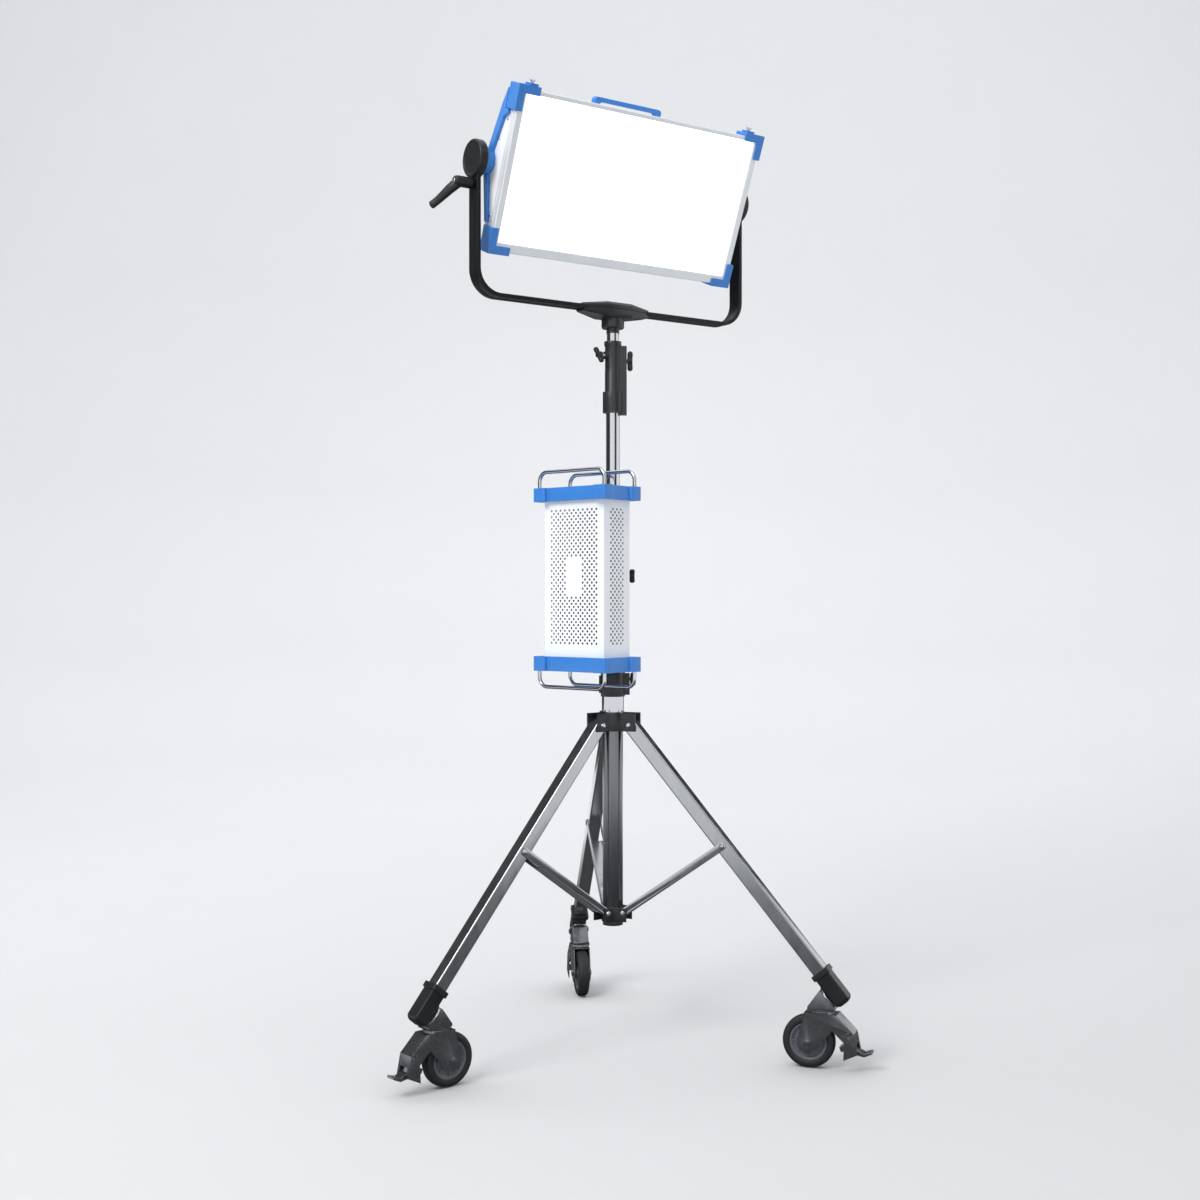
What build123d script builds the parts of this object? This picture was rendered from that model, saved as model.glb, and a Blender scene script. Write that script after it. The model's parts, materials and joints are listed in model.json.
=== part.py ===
from build123d import *
import os
from math import atan2, cos, degrees, radians, sin, sqrt

# LED soft-light panel in a yoke, on a three-wheeled roller stand, with its power supply
# clamped to the column.  Millimetres, +Z up, floor at Z = 0, column axis on Z.
# The tilt axis of the head is parallel to X and the head faces -Y, tipped down.

# ---------------------------------------------------------------- driving sizes
RUNNING = 0.05             # radial clearance of a pin or shaft that turns or slides in its bore
GAP = 0.4                  # gap between faces of different bodies

LEG_ANGLES = (65.8, 185.8, 305.8)
LEG_TILT = 39.8            # leg to the vertical, spread
LEG_SIZE = 32.0            # square leg tube
LEG_WALL = 2.0
LEG_END = 785.0            # from the spider pin to the end of the tube
PIN_R = 4.0
SPIDER_PIN = (45.5, 765.0)         # radius and height of the leg pins
HUB_PIN = (31.4, 321.0)            # radius and height of the lower brace pins
BRACE_AT = 356.0                   # along the leg, from its pin to the brace rivet
STRIP = (16.4, 18.9)               # brace flange, from the leg's middle plane
BRACE_WIDE = 18.0

COLUMN_R = 24.0
COLUMN_BORE = 21.5
COLUMN_Z = (296.0, 1060.0)
HUB_Z = (298.0, 334.0)             # casting round the column's foot
FOOT_Z = (289.0, 316.0)            # plug that closes the column's foot
SLEEVE_R = 26.0
SLEEVE_Z = (752.0, 1175.0)
RISER_R = 16.0
RISER_Z = (560.0, 1560.0)
TUBE_WALL = 2.0
LOWER_SCREW_Z = 872.0
UPPER_SCREW_Z = 1188.0
SOCKET_SCREW_Z = 1640.0            # holds the spigot in the receiver
SIDE_SCREW_Z = 1628.0              # holds a spare spigot in the square socket
SOCKET_SCREW_AT = 181.0            # direction of the receiver's round boss

WHEEL_R = 60.0
WHEEL_HALF = 15.0
HUB_RIM_R = 43.0
AXLE_R = 5.0
SWIVEL_R = 6.0
WHEEL_AT = (474.0, 60.0)
SWIVEL_AT = 505.0          # radius of the caster's swivel axis
SEAT_Z = 133.0             # underside of the caster's seat
FORK_TOP = 127.0
FORK_OUT = 22.0            # outer face of the fork's side plates
SHEET = 2.5                # fork sheet thickness
BRAKE_PIN = (566.0, 86.0)
PEDAL_HALF = 13.0

TILT_Z = 2050.0            # height of the tilt axis
HEAD_DOWN = 22.5           # the head looks this far below the horizontal
ARM_MID = 375.0            # yoke arm, from the middle
STRAP = 9.0
STRAP_WIDE = 40.0
BAR_Z = 1747.5
BEND_R = 62.0
HUB_R = 43.0
TRUNNION_R = 12.0
TRUNNION_IN = 322.0        # inner end of each trunnion, in the head
SPIGOT_R = 14.0
LEVER_DROP = 57.0          # tilt lever, below the tilt axis
LEVER_STUD_R = 5.0
BOSS_LONG = (34.0, 93.0)   # the clamp boss is parallel in its middle and tapers to its ends
BOSS_WIDE = (33.0, 17.0)
BOSS_LOW = (1728.5, 1738.0)
BOSS_HIGH = (1763.0, 1756.0)

SUPPLY_ANGLE = 194.6       # the power supply hangs on this side of the column
SUPPLY_OFF = 92.6          # column axis to the middle of the case
CASE = (186.0, 91.0)       # width and depth of the case
CASE_Z = (928.0, 1290.0)
SUPPLY_CLAMP_Z = 1117.0
RIGHT = -34.0              # direction in which the column's knobs stand out

parts = {}


# ---------------------------------------------------------------- helpers
def block(x, y, z):
    """A box between two limits along each axis."""
    centre = Pos((x[0] + x[1]) / 2, (y[0] + y[1]) / 2, (z[0] + z[1]) / 2)
    return centre * Box(x[1] - x[0], y[1] - y[0], z[1] - z[0])


def rod(start, end, radius):
    """A round bar between two points."""
    start = Vector(*start)
    axis = Vector(*end) - start
    return Plane(origin=start, z_dir=axis) * Cylinder(
        radius, axis.length, align=(Align.CENTER, Align.CENTER, Align.MIN))


def upright(radius, z):
    return rod((0, 0, z[0]), (0, 0, z[1]), radius)


def ring(outer, inner, z):
    return upright(outer, z) - upright(inner, z)


def crosswise(radius, x, z, y):
    """A round bar along Y through the point (x, z)."""
    return rod((x, y[0], z), (x, y[1], z), radius)


def sideways(radius, x, y=0.0, z=0.0):
    """A round bar along X through the point (y, z)."""
    return rod((x[0], y, z), (x[1], y, z), radius)


def plate(points, y):
    """A flat outline in the X-Z plane, as thick as the two Y limits."""
    outline = make_face(Polyline(*points, close=True))
    return Plane.XZ * (Pos(0, 0, -y[1]) * extrude(outline, y[1] - y[0]))


def whole(shape):
    """One solid, or one compound of several."""
    solids = shape.solids()
    return solids[0] if len(solids) == 1 else Compound(children=solids)


def turned(shape, angle):
    return Rot(0, 0, angle) * whole(shape)


def both_sides(shape):
    """The shape and its mirror image across the X = 0 plane."""
    return shape + mirror(shape, Plane.YZ)


def softened(shape, radius, axis=None):
    """Round a solid's edges, all of them or those along one axis."""
    edges = shape.edges() if axis is None else shape.edges().filter_by(axis)
    return fillet(edges, radius)


# ---------------------------------------------------------------- clamping knobs
def tee_knob(root, reach, span, roll):
    """A tee-handled screw along +X: its stem starts at root, its handle ends at reach."""
    stem = sideways(PIN_R, (root, reach - 12))
    collar = sideways(8.5, (reach - 13, reach - 9))
    handle = collar + block((reach - 11, reach - 1), (-4.5, 4.5), (6.5 - span, span - 6.5))
    for side in (-1, 1):
        tip = sideways(6.5, (reach - 12, reach), 0, side * (span - 6.5))
        handle += fillet(tip.edges(), 1.5)
    return Rot(roll, 0, 0) * whole(handle + stem)


# ---------------------------------------------------------------- base: sleeve, spider, collars
def make_sleeve():
    parts["base_sleeve"] = ring(SLEEVE_R, COLUMN_R + RUNNING, SLEEVE_Z)


def clevis(radii, inner, outer, pin, z):
    """Two ears beside one leg or brace, drilled for its pin."""
    ears = block(radii, (inner, outer), z) + block(radii, (-outer, -inner), z)
    return ears - crosswise(PIN_R, pin[0], pin[1], (-outer, outer))


def make_spider():
    low, high = 750.0, 793.0
    body = upright(34, (low, high))
    for angle in LEG_ANGLES:
        relief = block((25, 40), (-STRIP[0], STRIP[0]), (low - 1, high - 8))
        relief += crosswise(17.5, *SPIDER_PIN, (-STRIP[0], STRIP[0]))
        body -= turned(relief, angle)
        body += turned(clevis((24, 63), STRIP[0], 20.5, SPIDER_PIN, (low, high)), angle)
    parts["leg_spider"] = body - upright(SLEEVE_R, (low, high))
    pins = Part()
    for angle in LEG_ANGLES:
        pins += turned(rivet(SPIDER_PIN, 20.5), angle)
    parts["spider_pins"] = pins


def rivet(at, half):
    """A pin across a clevis, with a domed head outside each ear."""
    pin = crosswise(PIN_R, *at, (-half, half))
    for side in (-1, 1):
        head = Plane(origin=(at[0], side * half, at[1]), z_dir=(0, side, 0)) * Cone(
            6.5, 4.0, 3.0, align=(Align.CENTER, Align.CENTER, Align.MIN))
        pin += head
    return pin


def make_collars():
    # Lower collar: its screw locks the sleeve to the column.
    z = (831.0, 888.0)
    body = upright(28.8, z) + block((20, 40), (-11, 11), (z[0] + 4, z[1] - 2))
    body += block((-33, -20), (-7, 7), (z[0] + 8, z[1] - 8))
    body -= upright(SLEEVE_R, z)
    body -= sideways(PIN_R + RUNNING, (0, 45), 0, LOWER_SCREW_Z)
    parts["collar_lower"] = turned(body, RIGHT)
    knob = Pos(0, 0, LOWER_SCREW_Z) * tee_knob(28, 54, 17, 20)
    parts["knob_lower"] = turned(knob, RIGHT)

    # Upper collar: closes the sleeve and clamps the riser.
    z = (1150.0, 1205.0)
    body = upright(31, z) + block((20, 42), (-11, 11), (z[0] + 6, z[1] - 4))
    body -= upright(SLEEVE_R, (z[0], SLEEVE_Z[1]))
    body -= upright(RISER_R + RUNNING, z)
    body -= sideways(PIN_R + RUNNING, (0, 45), 0, UPPER_SCREW_Z)
    parts["collar_upper"] = turned(body, RIGHT + 90)
    knob = Pos(0, 0, UPPER_SCREW_Z) * tee_knob(22, 56, 17, 0)
    parts["knob_upper"] = turned(knob, RIGHT + 90)


# ---------------------------------------------------------------- column, lower hub, riser
def make_column():
    parts["column_tube"] = ring(COLUMN_R, COLUMN_BORE, COLUMN_Z)
    low, high = HUB_Z
    hub = upright(27, (low, high))
    for angle in LEG_ANGLES:
        hub += turned(clevis((12, 41), 19.3, 22.3, HUB_PIN, (low + 2, high - 2)), angle)
    hub -= upright(COLUMN_R, (low, high))
    foot = upright(COLUMN_R, (FOOT_Z[0], COLUMN_Z[0])) + upright(COLUMN_BORE, (COLUMN_Z[0], FOOT_Z[1]))
    foot = foot - upright(15, (COLUMN_Z[0] + 1, FOOT_Z[1]))
    pins = Part()
    for angle in LEG_ANGLES:
        pins += turned(rivet(HUB_PIN, 22.3), angle)
    parts["lower_hub"] = Compound(children=[hub, foot])
    parts["hub_pins"] = pins


def make_riser():
    tube = ring(RISER_R, RISER_R - TUBE_WALL, RISER_Z)
    guide = ring(COLUMN_BORE - GAP, RISER_R - TUBE_WALL, (RISER_Z[0], RISER_Z[0] + 16))
    parts["riser_tube"] = tube + guide

    # Receiver: socket for a 28 mm spigot above, clamped on the riser below.
    body = upright(20.5, (1664, 1674)) + upright(18.5, (1604, 1664))
    body += upright(18.9, (1554, 1604)) + upright(24, (1505, 1554))
    bar = softened(block((10, 33), (-10, 10), (1500, 1663)), 2.5, Axis.Z)
    body += turned(bar, RIGHT)
    body += turned(sideways(9, (10, 25), 0, SOCKET_SCREW_Z), SOCKET_SCREW_AT)
    body -= upright(SPIGOT_R + RUNNING, (1598, 1675))
    body -= upright(RISER_R, (1499, RISER_Z[1]))
    screw = sideways(PIN_R + RUNNING, (0, 40))
    body -= turned(Pos(0, 0, SOCKET_SCREW_Z) * screw, SOCKET_SCREW_AT)
    body -= turned(Pos(0, 0, SIDE_SCREW_Z) * screw, RIGHT)
    parts["receiver"] = body
    left = Pos(0, 0, SOCKET_SCREW_Z) * tee_knob(15, 47, 24, 38)
    parts["receiver_knob"] = turned(left, SOCKET_SCREW_AT)
    right = Pos(0, 0, SIDE_SCREW_Z) * tee_knob(15, 49, 24, 8)
    parts["side_knob"] = turned(right, RIGHT)


# ---------------------------------------------------------------- legs
def along_leg():
    """A plane on the leg pin: +Z runs down the leg, +X points up and out from it."""
    lean = radians(LEG_TILT)
    return Plane(origin=(SPIDER_PIN[0], 0, SPIDER_PIN[1]),
                 x_dir=(cos(lean), 0, sin(lean)), z_dir=(sin(lean), 0, -cos(lean)))


def leg_point(along, out=0.0):
    """Radius and height of a point on the leg."""
    lean = radians(LEG_TILT)
    return (SPIDER_PIN[0] + along * sin(lean) + out * cos(lean),
            SPIDER_PIN[1] - along * cos(lean) + out * sin(lean))


def leg_tube():
    half = LEG_SIZE / 2
    inner = half - LEG_WALL
    solid = softened(block((-half, half), (-half, half), (0, LEG_END)), 3, Axis.Z)
    solid += rod((0, -half, 0), (0, half, 0), half)
    hollow = block((-inner, inner), (-inner, inner), (0, LEG_END))
    hollow += rod((0, -inner, 0), (0, inner, 0), inner)
    bore = rod((0, -half, 0), (0, half, 0), PIN_R + RUNNING)
    return along_leg() * (solid - hollow - bore)


def end_cap():
    """The plastic shoe over the leg's end."""
    body = softened(block((-18.5, 18.5), (-18.5, 18.5), (712, 799)), 3.5, Axis.Z)
    body = fillet(body.faces().sort_by(Axis.Z)[-1].edges(), 12)
    rib = softened(block((-22, 22), (-22, 22), (709, 722)), 4, Axis.Z)
    inside = block((-16, 16), (-16, 16), (700, LEG_END))
    return along_leg() * (body + softened(rib, 1.5) - inside)


def caster_seat():
    """The casting under the shoe that sets the caster's swivel axis upright."""
    centre = leg_point(765, -18.5)
    lean = radians(LEG_TILT)
    flange_plane = Plane(origin=(centre[0], 0, centre[1]), z_dir=(-cos(lean), 0, -sin(lean)))
    flange = flange_plane * Cylinder(27, 4, align=(Align.CENTER, Align.CENTER, Align.MIN))
    outline = [leg_point(741, -22), leg_point(789, -22), (541, SEAT_Z), (468, SEAT_Z)]
    wedge = softened(plate(outline, (-20.5, 20.5)), 6, Axis.Y)
    bore = rod((SWIVEL_AT, 0, SEAT_Z - 1), (SWIVEL_AT, 0, SEAT_Z + 20), SWIVEL_R + RUNNING)
    return flange + wedge - bore


def brace_ends():
    """Length and lean from the vertical of the brace."""
    top = leg_point(BRACE_AT)
    across = top[0] - HUB_PIN[0]
    rise = top[1] - HUB_PIN[1]
    return sqrt(across ** 2 + rise ** 2), degrees(atan2(across, rise))


def brace():
    """A channel open upwards, its flanges on both sides of the leg, riveted at the end."""
    length, lean = brace_ends()
    half = BRACE_WIDE / 2
    body = Part()
    for side in (-1, 1):
        near, far = sorted((side * STRIP[0], side * STRIP[1]))
        body += block((-half, half), (near, far), (0, length))
        body += rod((0, near, 0), (0, far, 0), half)
        body += rod((0, near, length), (0, far, length), half)
        button = Plane(origin=(0, side * STRIP[1], length), z_dir=(0, side, 0))
        body += button * Cone(6.5, 4.5, 2.6, align=(Align.CENTER, Align.CENTER, Align.MIN))
    body += block((half - 2.5, half), (-STRIP[1], STRIP[1]), (34, length - 60))
    body -= rod((0, -20, 0), (0, 20, 0), PIN_R + RUNNING)
    return Pos(HUB_PIN[0], 0, HUB_PIN[1]) * Rot(0, lean, 0) * body


# ---------------------------------------------------------------- casters
def fork():
    """Swivelling housing: top plate, two side plates, an outer web and the axle."""
    axle_x, axle_z = WHEEL_AT
    outline = [(468, FORK_TOP), (541, FORK_TOP), (580, 88), (589, 43), (556, 27),
               (558, 66), (531, 91), (492, 44), (474, 60), (450, 64)]
    web = [(541, FORK_TOP), (580, 88), (589, 43), (586.5, 42.5), (577.6, 87),
           (538, FORK_TOP - 1)]
    inner = FORK_OUT - SHEET
    body = plate(web, (-FORK_OUT, FORK_OUT))
    body -= block((570, 600), (-PEDAL_HALF - 2, PEDAL_HALF + 2), (20, 64))
    body += block((466, 541), (-FORK_OUT, FORK_OUT), (FORK_TOP - SHEET, FORK_TOP))
    for y in ((-FORK_OUT, -inner), (inner, FORK_OUT)):
        body += plate(outline, y) + crosswise(24, axle_x, axle_z, y)
    body -= crosswise(PIN_R + RUNNING, *BRAKE_PIN, (-FORK_OUT, FORK_OUT))
    body += rod((SWIVEL_AT, 0, FORK_TOP), (SWIVEL_AT, 0, SEAT_Z - GAP), 27)
    body += rod((SWIVEL_AT, 0, FORK_TOP), (SWIVEL_AT, 0, SEAT_Z + 19), SWIVEL_R)
    body += crosswise(AXLE_R, axle_x, axle_z, (-FORK_OUT - 5, FORK_OUT + 5))
    for side in (-1, 1):
        nut = Plane(origin=(axle_x, side * FORK_OUT, axle_z), z_dir=(0, side, 0))
        body += nut * extrude(RegularPolygon(9, 6), 4)
        spacer = sorted((side * (WHEEL_HALF + 2), side * inner))
        body += crosswise(8, axle_x, axle_z, spacer)
    return body


def wheel():
    """Rubber tyre on a dished hub."""
    x, z = WHEEL_AT
    tyre = crosswise(WHEEL_R, x, z, (-WHEEL_HALF, WHEEL_HALF))
    tyre = fillet(tyre.edges(), 6) - crosswise(HUB_RIM_R, x, z, (-WHEEL_HALF, WHEEL_HALF))
    hub = crosswise(HUB_RIM_R, x, z, (-12, 12)) + crosswise(14, x, z, (-16.6, 16.6))
    for side in (-1, 1):
        groove = crosswise(36, x, z, sorted((side * 7.5, side * 12)))
        hub -= groove - crosswise(17, x, z, sorted((side * 7.5, side * 12)))
    hub -= crosswise(AXLE_R + RUNNING, x, z, (-17, 17))
    return Compound(children=[tyre.solid(), hub.solid()])


def brake():
    """Foot pedal with its shoe below the pin; pressing it down swings the shoe inwards."""
    lever = [(560, 90), (570, 90), (582, 52), (600, 45), (617, 50), (619, 45), (601, 37),
             (578, 41), (572, 48), (549, 44), (545, 54), (556, 60)]
    body = plate(lever, (-PEDAL_HALF, PEDAL_HALF)) + crosswise(8, *BRAKE_PIN, (-17, 17))
    return body + crosswise(PIN_R, *BRAKE_PIN, (-FORK_OUT - 1.5, FORK_OUT + 1.5))


def make_legs():
    makers = {"leg": leg_tube, "end_cap": end_cap, "caster_seat": caster_seat,
              "brace": brace, "fork": fork, "wheel": wheel, "brake": brake}
    for kind, maker in makers.items():
        shape = maker()
        for number, angle in enumerate(LEG_ANGLES, 1):
            parts[f"{kind}_{number}"] = turned(shape, angle)


# ---------------------------------------------------------------- yoke
def make_yoke():
    half = STRAP / 2
    outer = ARM_MID + half
    low = BAR_Z - half
    frame = block((-outer, outer), (-STRAP_WIDE / 2, STRAP_WIDE / 2), (low, TILT_Z))
    frame = fillet(frame.edges().filter_by(Axis.Y).group_by(Axis.Z)[0], BEND_R)
    inner = block((-outer + STRAP, outer - STRAP), (-30, 30), (low + STRAP, TILT_Z + 30))
    inner = fillet(inner.edges().filter_by(Axis.Y).group_by(Axis.Z)[0], BEND_R - STRAP)
    frame -= inner
    ends = sideways(STRAP_WIDE / 2, (outer - STRAP, outer), 0, TILT_Z)
    frame += both_sides(ends)
    groove = block((outer - 1.2, outer), (-5, 5), (BAR_Z + 90, TILT_Z - 50))
    frame -= both_sides(groove)
    bore = sideways(TRUNNION_R + RUNNING, (-outer, outer), 0, TILT_Z)
    lever_z = TILT_Z - LEVER_DROP
    screw = sideways(LEVER_STUD_R + RUNNING, (-outer, -outer + STRAP), 0, lever_z)
    parts["yoke_strap"] = frame - bore - screw

    face = outer + 5
    back = outer - STRAP - 8
    cap = fillet(sideways(HUB_R, (back, face), 0, TILT_Z).edges(), 4.5)
    dish = Pos(face + 148.5, 0, TILT_Z) * Sphere(151.5)
    slot = block((outer - STRAP, outer), (-20, 20), (TILT_Z - 60, TILT_Z))
    slot += sideways(20, (outer - STRAP, outer), 0, TILT_Z)
    bore = sideways(TRUNNION_R + RUNNING, (back - 1, outer + 1), 0, TILT_Z)
    parts["yoke_hubs"] = both_sides(cap - dish - slot - bore)

    body = rod((-430, 0, lever_z), (-outer - GAP, 0, lever_z), 12.5)
    body = fillet(body.edges().sort_by(Axis.X)[0], 5)
    root = Vector(-420, 0, lever_z)
    tip = Vector(-455, 52, lever_z - 48)
    grip = Plane(origin=root, z_dir=tip - root) * Cone(
        11, 6.5, (tip - root).length, align=(Align.CENTER, Align.CENTER, Align.MIN))
    body += grip + Pos(*tip) * Sphere(7.5)
    body += sideways(LEVER_STUD_R, (-outer - GAP, -outer + STRAP - 1), 0, lever_z)
    parts["tilt_lever"] = body


def make_boss():
    """The split clamp in the middle of the strap, its bell and the spigot below."""
    corners = list(zip(BOSS_LONG, BOSS_WIDE))
    outline = [(x, y) for x, y in corners] + [(x, -y) for x, y in reversed(corners)]
    outline += [(-x, -y) for x, y in corners] + [(-x, y) for x, y in reversed(corners)]
    plan = Pos(0, 0, 1725) * extrude(make_face(Polyline(*outline, close=True)), 45)
    upper = list(zip(BOSS_LONG, BOSS_HIGH))
    lower = list(zip(BOSS_LONG, BOSS_LOW))
    outline = [(x, z) for x, z in upper] + [(x, z) for x, z in reversed(lower)]
    outline += [(-x, z) for x, z in lower] + [(-x, z) for x, z in reversed(upper)]
    body = plan & plate(outline, (-40, 40))
    body += upright(27, (1705, 1735))
    body += upright(15.5, (1693, 1699.5)) + upright(14.4, (1699.5, 1701)) + upright(15.5, (1701, 1706))
    body -= block((-100, 100), (-STRAP_WIDE / 2, STRAP_WIDE / 2), (BAR_Z - 4.5, BAR_Z + 4.5))
    body -= upright(SPIGOT_R, (1690, 1730))
    parts["yoke_boss"] = body
    spigot = upright(SPIGOT_R, (1606, 1730))
    parts["yoke_spigot"] = chamfer(spigot.edges().sort_by(Axis.Z)[0], 2)


# ---------------------------------------------------------------- head
# The head is drawn level, facing -Y, with its tilt axis on X, then tipped into place.
APERTURE_X = 322.0
APERTURE_Z = (-165.0, 162.0)
BEZEL_X = 339.0
BEZEL_Z = (-186.0, 172.0)
FACE = -82.0               # front face of the bezel
GUARD_FACE = -85.5
REAR = 18.0                # back of the white housing
SIDE_X = 339.0
LATCH_R = 3.5
SOCKETS = ((62.0, 19.0), (14.0, 13.0), (-24.0, 13.0))     # height and outer radius
SOCKET_WALL = 3.0
KNOBS = (("dimmer_knob", 20.0, 13.0), ("menu_knob", -12.0, 9.0))     # height and radius
PANEL_X = 226.0            # middle of the control panel, and of the socket plate
PANEL_HALF = (33.0, 100.0)
SHELL_X = 262.0            # half width of the housing's middle
SHELL_Z = (-150.0, 148.0)
WALL = 4.0
LAMPS = (12, 5)
LAMP_STEP = (42.0, 56.0)
FINS = 20
FIN_STEP = 19.0


def place_head(shape):
    return Pos(0, 0, TILT_Z) * Rot(HEAD_DOWN, 0, 0) * whole(shape)


def make_front():
    panel = block((-APERTURE_X - 6, APERTURE_X + 6), (-78, -74), (-171, 168))
    parts["diffuser_panel"] = panel
    frame = block((-BEZEL_X, BEZEL_X), (FACE, -60), BEZEL_Z)
    frame = softened(frame, 2, Axis.Y)
    frame -= block((-APERTURE_X, APERTURE_X), (FACE - 1, -50), APERTURE_Z)
    frame -= block((-APERTURE_X - 6, APERTURE_X + 6), (-78, -50), (-171, 168))
    parts["front_bezel"] = frame
    board = block((-256, 256), (10, 13), (-145, 143))
    lamps = Part()
    for column in range(LAMPS[0]):
        for row in range(LAMPS[1]):
            x = LAMP_STEP[0] * (column - (LAMPS[0] - 1) / 2)
            z = LAMP_STEP[1] * (row - (LAMPS[1] - 1) / 2) - 1
            lamps += block((x - 6, x + 6), (8, 10), (z - 6, z + 6))
    parts["led_board"] = board + lamps


def side_outline(wall=0.0):
    """Outline of the housing's side: deep at the tilt axis, shallow at its ends."""
    return [(-60 - wall, 168 - wall), (-44 - wall, 168 - wall), (-27 - wall, 128 - wall),
            (-wall, 30 - wall), (-wall, wall - 30), (-40 - wall, wall - 150),
            (-44 - wall, wall - 182), (-60 - wall, wall - 182)]


def across(outline, half):
    """An outline in the Y-Z plane, as wide as the head's middle between -half and half."""
    return Plane.YZ * (Pos(0, 0, -half) * extrude(make_face(Polyline(*outline, close=True)), 2 * half))


def make_housing():
    shell = block((-SHELL_X, SHELL_X), (-60, REAR), SHELL_Z)
    shell = softened(shell, 10, Axis.X)
    mouth = block((-335, 335), (-60, -52), (-182, 168))
    body = shell + mouth + across(side_outline(), SIDE_X)
    body -= across(side_outline(WALL), 320)
    body -= block((WALL - SHELL_X, SHELL_X - WALL), (-61, 13), (SHELL_Z[0] + WALL, SHELL_Z[1] - WALL))
    parts["head_housing"] = body - both_sides(sideways(TRUNNION_R, (TRUNNION_IN, 345)))


def corner(side, top):
    """An L-shaped corner guard wrapping the front edge."""
    z_edge = BEZEL_Z[1] + 8 if top else BEZEL_Z[0] - 6
    inward = -1 if top else 1
    x_out = BEZEL_X + 7
    across = sorted((side * (x_out - 56), side * x_out))
    upright_x = sorted((side * (x_out - 18), side * x_out))
    bar_z = sorted((z_edge, z_edge + inward * 19))
    post_z = sorted((z_edge, z_edge + inward * 58))
    shape = block(across, (GUARD_FACE, -44), bar_z) + block(upright_x, (GUARD_FACE, -44), post_z)
    shape = fillet(shape.edges().filter_by(Axis.Y), 2.5)
    window_x = sorted((0, side * BEZEL_X))
    shape -= block(window_x, (FACE, -60), BEZEL_Z)
    return shape - block(window_x, (-61, -40), (-182, 168))


def side_rail(side):
    """The blue rail along the rear edge of one side, with the boss of the tilt axis."""
    x0, x1 = sorted((side * SIDE_X, side * (SIDE_X + 8)))
    outline = [(-44, 160), (-58, 114), (-41, 104), (-17, 26), (-17, -26), (-54, -128),
               (-44, -128), (0, -30), (2, 0), (0, 30), (-26, 128), (-40, 166)]
    return x0, x1, outline


def make_guards():
    pieces = []
    for side in (-1, 1):
        x0, x1, outline = side_rail(side)
        face = make_face(Polyline(*outline, close=True))
        rail = Plane.YZ * (Pos(0, 0, x0) * extrude(face, x1 - x0))
        boss = sideways(30, sorted((side * SIDE_X, side * 361.8)))
        rail += boss
        rail -= sideways(TRUNNION_R, sorted((side * 330, side * 365)))
        rail -= block((-400, 400), (GUARD_FACE, -43.5), (121.5, 190))
        rail -= block((-400, 400), (GUARD_FACE, -43.5), (-200, -133.5))
        pieces += rail.solids()
        for top in (True, False):
            pieces += corner(side, top).solids()
    parts["guards"] = Compound(children=pieces)
    parts["tilt_trunnions"] = both_sides(sideways(TRUNNION_R, (TRUNNION_IN, 380)))


def make_handle():
    grip = block((-95, 95), (2, 18), (148, 186))
    grip = fillet(grip.edges().filter_by(Axis.Y).group_by(Axis.Z)[-1], 9)
    opening = block((-80, 80), (0, 25), (140, 175))
    opening = fillet(opening.edges().filter_by(Axis.Y).group_by(Axis.Z)[-1], 8)
    parts["top_handle"] = grip - opening


def make_heat_sink():
    base = block((-186, 186), (REAR, REAR + 8), (-120, 120))
    fins = base
    for number in range(FINS):
        x = FIN_STEP * (number - (FINS - 1) / 2)
        fins += block((x - 1.5, x + 1.5), (REAR + 8, 92), (-120, 120))
    parts["heat_sink"] = fins


def make_controls():
    wide, tall = PANEL_HALF
    panel = block((PANEL_X - wide, PANEL_X + wide), (REAR, REAR + 7), (-tall, tall))
    panel = softened(panel, 4, Axis.Y)
    panel -= block((PANEL_X - 25, PANEL_X + 25), (REAR + 5.5, REAR + 8), (52, 86))
    for _, z, _ in KNOBS:
        panel -= rod((PANEL_X, REAR + 3, z), (PANEL_X, REAR + 8, z), 3 + RUNNING)
    buttons = Part()
    for column in range(3):
        for row in range(2):
            x = PANEL_X + 18 * (column - 1)
            z = -48 - 20 * row
            buttons += block((x - 6, x + 6), (REAR + 7, REAR + 9), (z - 4, z + 4))
    parts["control_panel"] = panel + buttons
    for name, z, radius in KNOBS:
        cap = rod((PANEL_X, REAR + 7 + GAP, z), (PANEL_X, REAR + 22, z), radius)
        cap = fillet(cap.edges().sort_by(Axis.Y)[-1], 2)
        for turn in range(12):
            angle = radians(30 * turn)
            x = PANEL_X + radius * cos(angle)
            flute = rod((x, REAR + 10, z + radius * sin(angle)),
                        (x, REAR + 24, z + radius * sin(angle)), 1.2)
            cap -= flute
        parts[name] = cap + rod((PANEL_X, REAR + 3.5, z), (PANEL_X, REAR + 8, z), 3)


def make_sockets():
    """Inlet plate on the back: supply inlet, two data sockets and a network jack."""
    wide, tall = PANEL_HALF
    body = block((-PANEL_X - wide, wide - PANEL_X), (REAR, REAR + 6), (-tall, tall))
    body = softened(body, 4, Axis.Y)
    for z, radius in SOCKETS:
        body += rod((-PANEL_X, REAR + 6, z), (-PANEL_X, REAR + 18, z), radius)
        body -= rod((-PANEL_X, REAR + 6, z), (-PANEL_X, REAR + 19, z), radius - SOCKET_WALL)
    body += block((-PANEL_X - 11, 11 - PANEL_X), (REAR + 6, REAR + 18), (-78, -56))
    body -= block((-PANEL_X - 8, 8 - PANEL_X), (REAR + 6, REAR + 19), (-75, -59))
    parts["rear_sockets"] = body


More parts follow.
